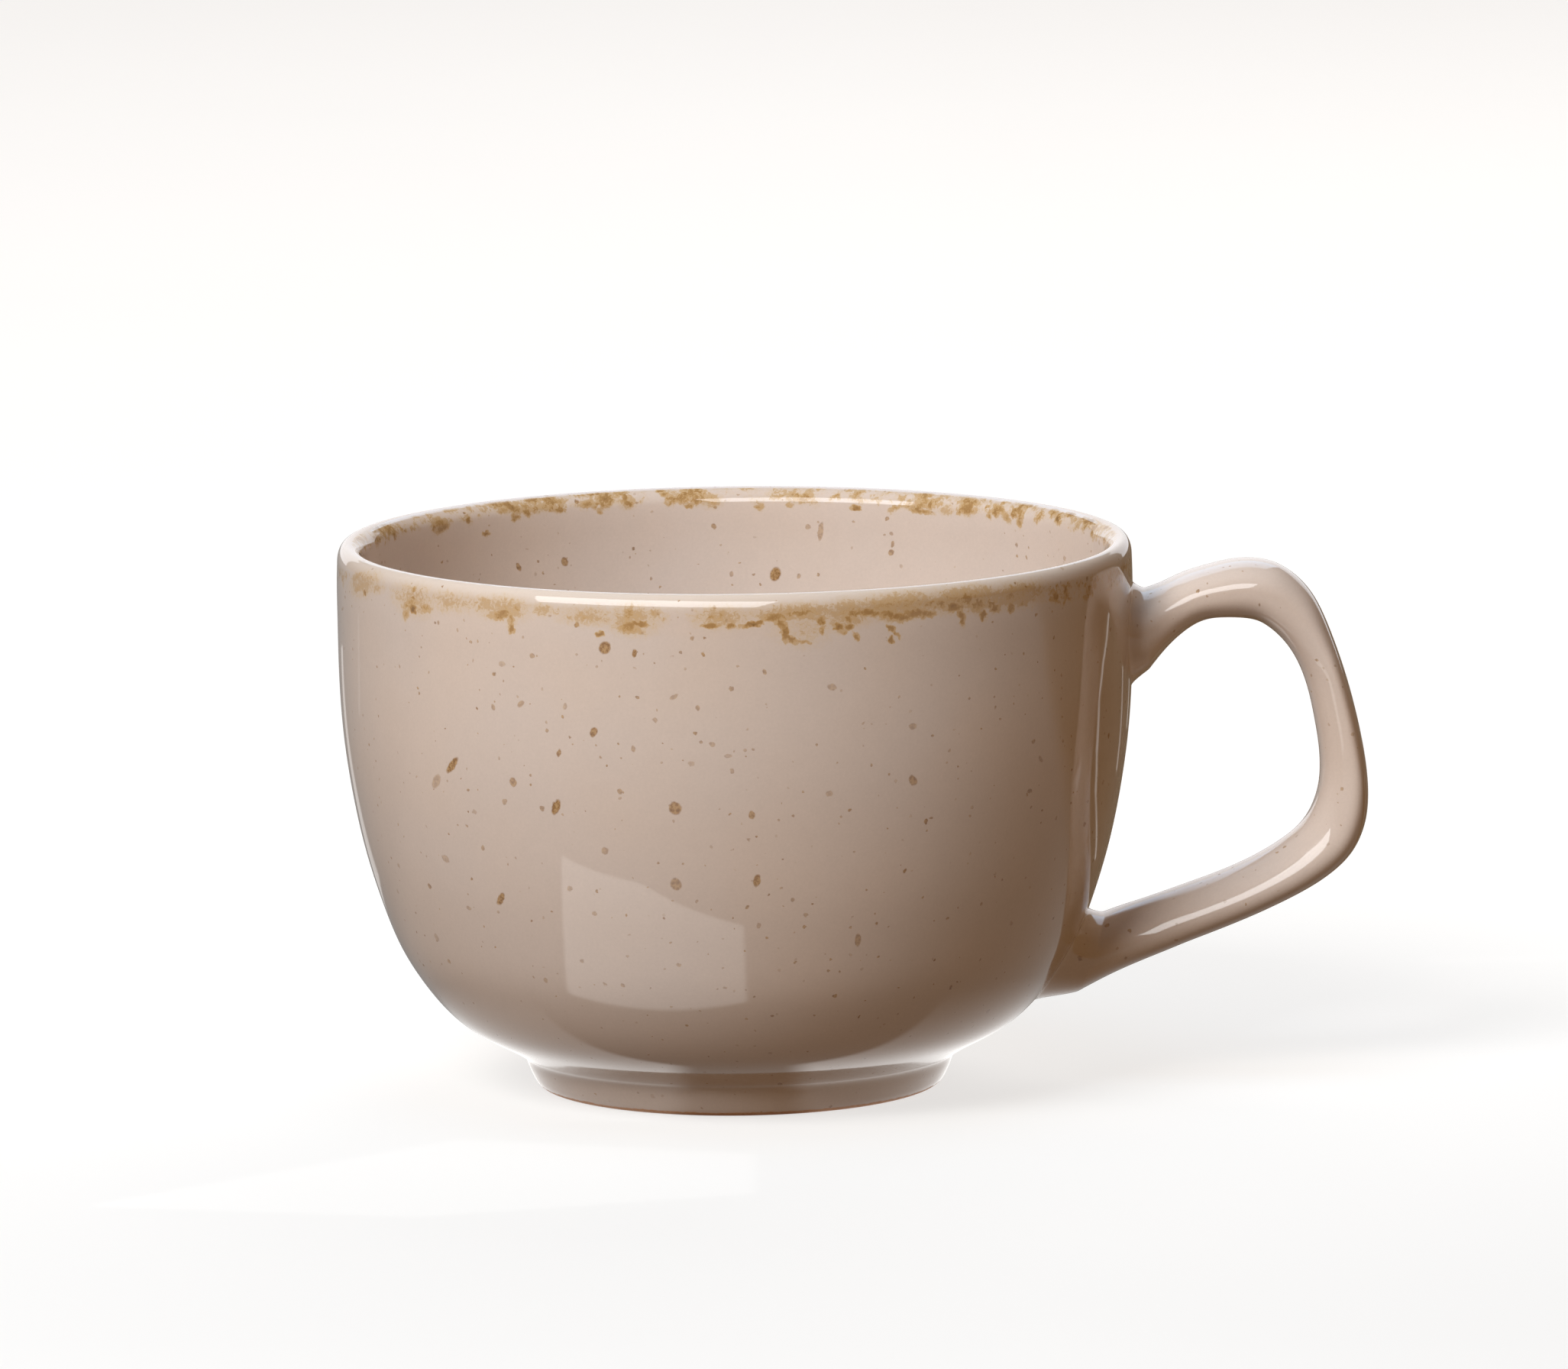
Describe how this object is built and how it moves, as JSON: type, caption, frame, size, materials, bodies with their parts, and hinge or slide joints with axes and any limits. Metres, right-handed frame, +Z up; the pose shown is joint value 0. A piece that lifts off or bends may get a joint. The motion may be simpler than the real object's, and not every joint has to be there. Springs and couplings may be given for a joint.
{
  "type": "coffee cup",
  "caption": "Round-bottomed glazed ceramic coffee cup on a low foot ring, with a rounded lip and a strap handle luted on at its upper and lower root.",
  "frame": {"origin": "on the standing plane, at the middle of the whole cup's box in X and Y; the bowl's axis stands at X = -0.013575, Y = 0", "axes": "+Z up along the bowl's axis, +X from the bowl towards the handle, +Y to the left seen along +X; the handle lies in the XZ plane"},
  "size_m": [0.1192, 0.092, 0.0636],
  "materials": {
    "glaze": "glossy warm beige glaze with scattered brown iron specks and a mottled golden-brown band just under the lip",
    "foot": "the same glossy beige glaze, wiped off the standing edge, which shows a thin orange-brown line of bare clay"
  },
  "bodies": {
    "root": {"bowl": "glaze", "foot_ring": "foot", "handle": "glaze", "upper_handle_joint": "glaze", "lower_handle_joint": "glaze"}
  },
  "joints": []
}
